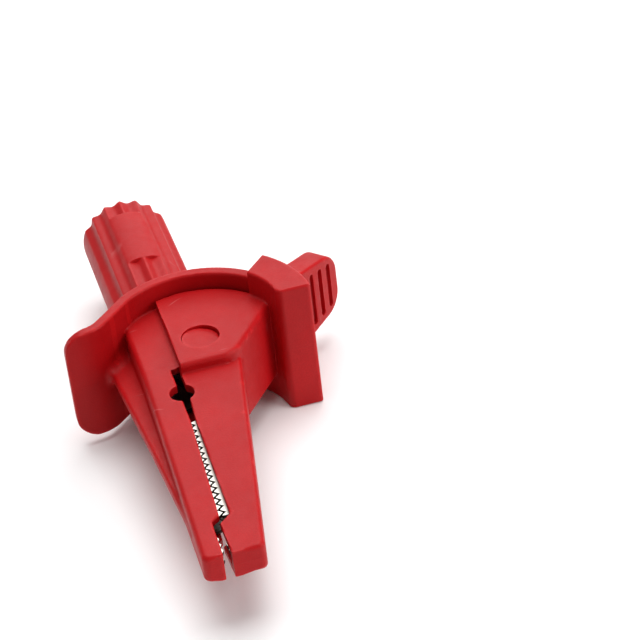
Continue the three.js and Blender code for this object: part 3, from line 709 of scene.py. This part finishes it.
# ---------------------------------------------------------------- materials
class Nodes:
    """Short ways to add nodes to a material's tree."""

    def __init__(self, name):
        self.material = bpy.data.materials.new(name)
        self.material.use_nodes = True
        self.tree = self.material.node_tree
        self.shader = self.tree.nodes["Principled BSDF"]
        self.place = self.add("ShaderNodeTexCoord").outputs["Object"]

    def add(self, kind, inputs=(), **settings):
        node = self.tree.nodes.new(kind)
        for key, value in settings.items():
            setattr(node, key, value)
        for key, value in dict(inputs).items():
            self.feed(node.inputs[key], value)
        return node

    def feed(self, socket, value):
        if isinstance(value, bpy.types.NodeSocket):
            self.tree.links.new(value, socket)
        else:
            socket.default_value = value

    def noise(self, grain_mm, detail=2.0, place=None):
        """Noise whose features are about grain_mm across, from 0 to 1."""
        inputs = {"Vector": place or self.place, "Scale": 1 / (grain_mm * MM), "Detail": detail}
        return self.add("ShaderNodeTexNoise", inputs).outputs["Fac"]

    def ranged(self, value, from_low, from_high, to_low, to_high):
        inputs = {0: value, 1: from_low, 2: from_high, 3: to_low, 4: to_high}
        return self.add("ShaderNodeMapRange", inputs).outputs[0]

    def maths(self, operation, a, b=0.0):
        return self.add("ShaderNodeMath", {0: a, 1: b}, operation=operation).outputs[0]

    def times(self, a, b):
        return self.maths("MULTIPLY", a, b)

    def mixed(self, share, a, b):
        return self.add("ShaderNodeMixRGB", {"Fac": share, "Color1": a, "Color2": b}).outputs["Color"]

    def edges(self, low=0.51, high=0.57):
        """1 along convex edges, 0 on flat faces."""
        pointed = self.add("ShaderNodeNewGeometry").outputs["Pointiness"]
        return self.ranged(pointed, low, high, 0, 1)

    def bumps(self, *layers):
        """Heights in millimetres laid over one another."""
        normal = None
        for height, depth_mm in layers:
            inputs = {"Height": height, "Distance": depth_mm * MM, "Strength": 1.0}
            if normal:
                inputs["Normal"] = normal
            normal = self.add("ShaderNodeBump", inputs).outputs["Normal"]
        self.feed(self.shader.inputs["Normal"], normal)


def moulded_plastic(name, colour, dark, speck, worn, scuffed, parting_line=True):
    """Clouded and specked plastic with a fine grain, worn edges and a few faint scratches."""
    n = Nodes(name)
    shader = n.shader
    base = n.mixed(n.ranged(n.noise(9.0, 3.0), 0.35, 0.65, 0, 1), dark, colour)
    base = n.mixed(n.ranged(n.noise(0.16, 2.0), 0.35, 0.65, 0, 0.4), base, speck)
    base = n.mixed(n.times(n.edges(), 0.35), base, worn)
    wave = {"Vector": n.place, "Scale": 1 / (26 * MM), "Distortion": 14.0, "Detail": 2.0, "Detail Scale": 1.2}
    lines = n.ranged(n.add("ShaderNodeTexWave", wave).outputs["Fac"], 0.992, 1.0, 0, 1)
    scratches = n.times(lines, n.ranged(n.noise(7.0), 0.63, 0.71, 0, 1))
    base = n.mixed(n.times(scratches, 0.2), base, scuffed)
    n.feed(shader.inputs["Base Color"], base)

    mottle = n.noise(1.6, 2.0)
    rough = n.maths("ADD", n.ranged(mottle, 0.3, 0.7, 0.44, 0.54), n.times(n.edges(), -0.08))
    n.feed(shader.inputs["Roughness"], rough)
    layers = [(n.noise(0.3, 3.0), 0.022), (mottle, 0.008)]
    if parting_line:
        height = n.add("ShaderNodeSeparateXYZ", {0: n.place}).outputs["Z"]
        from_line = n.maths("ABSOLUTE", n.maths("SUBTRACT", height, PIVOT.z))
        layers.append((n.ranged(from_line, 0.0, 0.12 * MM, 1, 0), 0.012))
    n.bumps(*layers)
    shader.inputs["Subsurface Weight"].default_value = 0.25
    shader.inputs["Subsurface Radius"].default_value = (1.0, 0.25, 0.2)
    shader.inputs["Subsurface Scale"].default_value = 0.8 * MM
    shader.inputs["IOR"].default_value = 1.5
    shader.inputs["Specular IOR Level"].default_value = 0.22
    return n.material


def metal(name, colour, dull, roughness, stretch=(1, 1, 1)):
    """Stained metal with brighter edges and fine drawn lines, which run the way that stretch is small."""
    n = Nodes(name)
    shader = n.shader
    shader.inputs["Metallic"].default_value = 1.0
    stain = n.ranged(n.noise(2.2, 4.0), 0.4, 0.65, 0, 1)
    base = n.mixed(n.times(stain, 0.5), colour, dull)
    n.feed(shader.inputs["Base Color"], n.mixed(n.times(n.edges(0.52, 0.6), 0.6), base, colour))
    drawn = n.add("ShaderNodeMapping", {"Vector": n.place, "Scale": stretch}).outputs["Vector"]
    lines = n.noise(0.12, 3.0, drawn)
    n.feed(shader.inputs["Roughness"], n.ranged(lines, 0.3, 0.7, roughness - 0.06, roughness + 0.08))
    n.bumps((lines, 0.0008), (n.noise(0.9, 2.0), 0.003))
    return n.material


def dress(piece, material):
    piece.data.materials.clear()
    piece.data.materials.append(material)


def paint_gap_shade_on_sheared_edges(blade, edge_and_gap_shade):
    """The sides' toothed edges are unplated shear-cut steel, coloured near black and much darker than the
    plated faces: partly the real unplated edge, partly painted shade for the deep, unlit gap between the
    meshing teeth.
    """
    blade.data.materials.append(edge_and_gap_shade)
    for face in blade.data.polygons:
        x, _, z = (face.center - PIVOT) / MM
        on_side = abs(z) > taper(x, BLADE_X, BLADE_HALF_WIDTHS) - SHEET
        face.material_index = int(on_side and abs(face.normal.z) < 0.5)


# ---------------------------------------------------------------- the clip
def place(piece, body, material, slot, *nodes):
    dress(piece, material)
    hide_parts(*nodes)
    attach(piece, body)


red = moulded_plastic("red_plastic", (0.48, 0.003, 0.005, 1), (0.42, 0.002, 0.004, 1),
                      (0.30, 0.001, 0.003, 1), (0.62, 0.012, 0.014, 1), (0.72, 0.35, 0.35, 1))
black = moulded_plastic("black_plastic", (0.02, 0.02, 0.022, 1), (0.014, 0.014, 0.015, 1),
                        (0.010, 0.010, 0.011, 1), (0.05, 0.05, 0.052, 1), (0.12, 0.12, 0.12, 1),
                        parting_line=False)
nickel = metal("nickel_plate", (0.86, 0.84, 0.78, 1), (0.72, 0.70, 0.63, 1), 0.34, (0.15, 1, 1))
stamped = metal("stamped_nickel", (0.76, 0.74, 0.68, 1), (0.62, 0.60, 0.53, 1), 0.38, (0.15, 1, 1))
# Near-black metal for the blades' cut edges: partly real unplated steel, partly painted shade for the deep
# gap between the teeth.
gap_shaded_edge_metal = metal("sheared_edge_gap_shade", (0.09, 0.07, 0.06, 1), (0.05, 0.04, 0.035, 1), 0.55)
steel = metal("spring_steel", (0.56, 0.55, 0.53, 1), (0.40, 0.39, 0.37, 1), 0.30)

lower_shell = meshed("lower_shell", lower_housing, (-44.2, -20.0, -9.3), (45.5, 11.6, 9.3), **MOULDED)
place(lower_shell, LOWER, red, "housing_plastic", "lower_housing")
upper_shell = meshed("upper_shell", upper_housing, (-21.0, -7.3, -10.84), (45.5, 26.0, 10.84), **MOULDED)
place(upper_shell, UPPER, red, "housing_plastic", "upper_housing")
lower_jaw = meshed("lower_blade", lower_blade, (-10.1, -9.4, -3.7), (43.9, 3.3, 3.7), **STAMPED)
place(lower_jaw, LOWER, stamped, "nickel_plate", "lower_jaw_blade")
# The blades' cut edges get the near-black metal, which paints the shade of the gap between the teeth.
paint_gap_shade_on_sheared_edges(lower_jaw, gap_shaded_edge_metal)
upper_jaw = meshed("upper_blade", upper_blade, (-6.9, -8.3, -3.4), (43.9, 9.6, 3.4), **STAMPED)
place(upper_jaw, UPPER, stamped, "nickel_plate", "upper_jaw_blade")
paint_gap_shade_on_sheared_edges(upper_jaw, gap_shaded_edge_metal)

place(
    on_pin_axis("pin", filleted([
        (-PIN_HALF_LENGTH, 0, 0), (-PIN_HALF_LENGTH, PIN_RADIUS, 0.3), (PIN_HALF_LENGTH, PIN_RADIUS, 0.3),
        (PIN_HALF_LENGTH, 0, 0)])),
    LOWER, steel, "spring_steel", "pivot_pin")
place(
    on_pin_axis("bush", filleted([
        (-BUSH_HALF_LENGTH, PIN_BORE_RADIUS, 0.1), (-BUSH_HALF_LENGTH, BUSH_RADIUS, 0.12),
        (BUSH_HALF_LENGTH, BUSH_RADIUS, 0.12), (BUSH_HALF_LENGTH, PIN_BORE_RADIUS, 0.1)])),
    LOWER, nickel, "nickel_plate", "pivot_bush")
place(
    on_barrel_axis("socket", filleted([
        (SOCKET_BORE_END_X, 0, 0), (SOCKET_BORE_END_X - 0.8, SOCKET_BORE_RADIUS, 0.3),
        (SOCKET_X[0] + 0.35, SOCKET_BORE_RADIUS, 0.1), (SOCKET_X[0], SOCKET_BORE_RADIUS + 0.25, 0.08),
        (SOCKET_X[0], SOCKET_RADIUS, 0.12), (SOCKET_X[1], SOCKET_RADIUS, 0.2),
        (SOCKET_X[1], RIVET_SHANK_RADIUS, 0.08), (RIVET_X[0], RIVET_SHANK_RADIUS, 0.08),
        (RIVET_X[0], 1.7, 0.15), (RIVET_X[1], 1.3, 0.3), (RIVET_X[1], 0, 0)])),
    LOWER, nickel, "nickel_plate", "socket_tube")
sleeve_inner = SOCKET_RADIUS + SLIDE_GAP
place(
    on_barrel_axis("sleeve", filleted([
        (SLEEVE_X[0], sleeve_inner, 0.1), (SLEEVE_X[0], SLEEVE_RADIUS, 0.2),
        (SLEEVE_X[1] - SLEEVE_FOOT_LENGTH, SLEEVE_RADIUS, 0.3),
        (SLEEVE_X[1] - SLEEVE_FOOT_LENGTH, SLEEVE_FOOT_RADIUS, 0.2), (SLEEVE_X[1], SLEEVE_FOOT_RADIUS, 0.2),
        (SLEEVE_X[1], sleeve_inner, 0.1)])),
    LOWER, black, "housing_plastic", "socket_sleeve")

spring = torsion_spring()
dress(spring, steel)
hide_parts("torsion_spring", "spring_free_leg")
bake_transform(spring)


# ---------------------------------------------------------------- floor, light and camera
def about_pivot(point):
    return PIVOT + Vector(point) * MM


def soft_light(name, at, size, power):
    lamp = bpy.data.lights.new(name, "AREA")
    lamp.shape = "DISK"
    lamp.size = size
    lamp.energy = power
    holder = bpy.data.objects.new(name, lamp)
    holder.location = at
    holder.rotation_euler = (PIVOT - Vector(at)).to_track_quat("-Z", "Y").to_euler()
    bpy.context.scene.collection.objects.link(holder)


def pale_floor():
    half = 3.0
    corners = [(-half, -half, 0), (half, -half, 0), (half, half, 0), (-half, half, 0)]
    mesh = bpy.data.meshes.new("floor")
    mesh.from_pydata(corners, [], [(0, 1, 2, 3)])
    floor = bpy.data.objects.new("floor", mesh)
    bpy.context.scene.collection.objects.link(floor)
    n = Nodes("pale_floor")
    cloud = n.mixed(n.noise(40.0), (0.93, 0.93, 0.93, 1), (0.95, 0.95, 0.95, 1))
    n.feed(n.shader.inputs["Base Color"], cloud)
    n.shader.inputs["Roughness"].default_value = 0.9
    n.shader.inputs["Specular IOR Level"].default_value = 0.2
    mesh.materials.append(n.material)


def studio():
    world = bpy.data.worlds.new("studio")
    world.use_nodes = True
    background = world.node_tree.nodes["Background"]
    background.inputs["Color"].default_value = (1, 1, 1, 1)
    background.inputs["Strength"].default_value = 0.28
    bpy.context.scene.world = world
    soft_light("overhead", (-0.10, 0.05, 0.75), size=0.7, power=5.2)
    soft_light("behind", (-0.60, 0.13, 0.42), size=0.7, power=2.0)
    soft_light("side_fill", (0.45, 0.70, 0.35), size=0.6, power=3.6)
    bpy.context.scene.view_settings.view_transform = "Standard"


def camera():
    view = bpy.data.cameras.new("camera")
    view.lens = CAMERA_LENS
    view.clip_start = 0.01
    view.clip_end = 20
    holder = bpy.data.objects.new("camera", view)
    at, aim = about_pivot(CAMERA_AT), about_pivot(CAMERA_AIM)
    level = (aim - at).to_track_quat("-Z", "Y")
    roll = Matrix.Rotation(math.radians(CAMERA_ROLL), 3, "Z").to_quaternion()
    holder.location = at
    holder.rotation_mode = "QUATERNION"
    holder.rotation_quaternion = level @ roll
    bpy.context.scene.collection.objects.link(holder)
    bpy.context.scene.camera = holder


pale_floor()
studio()
camera()
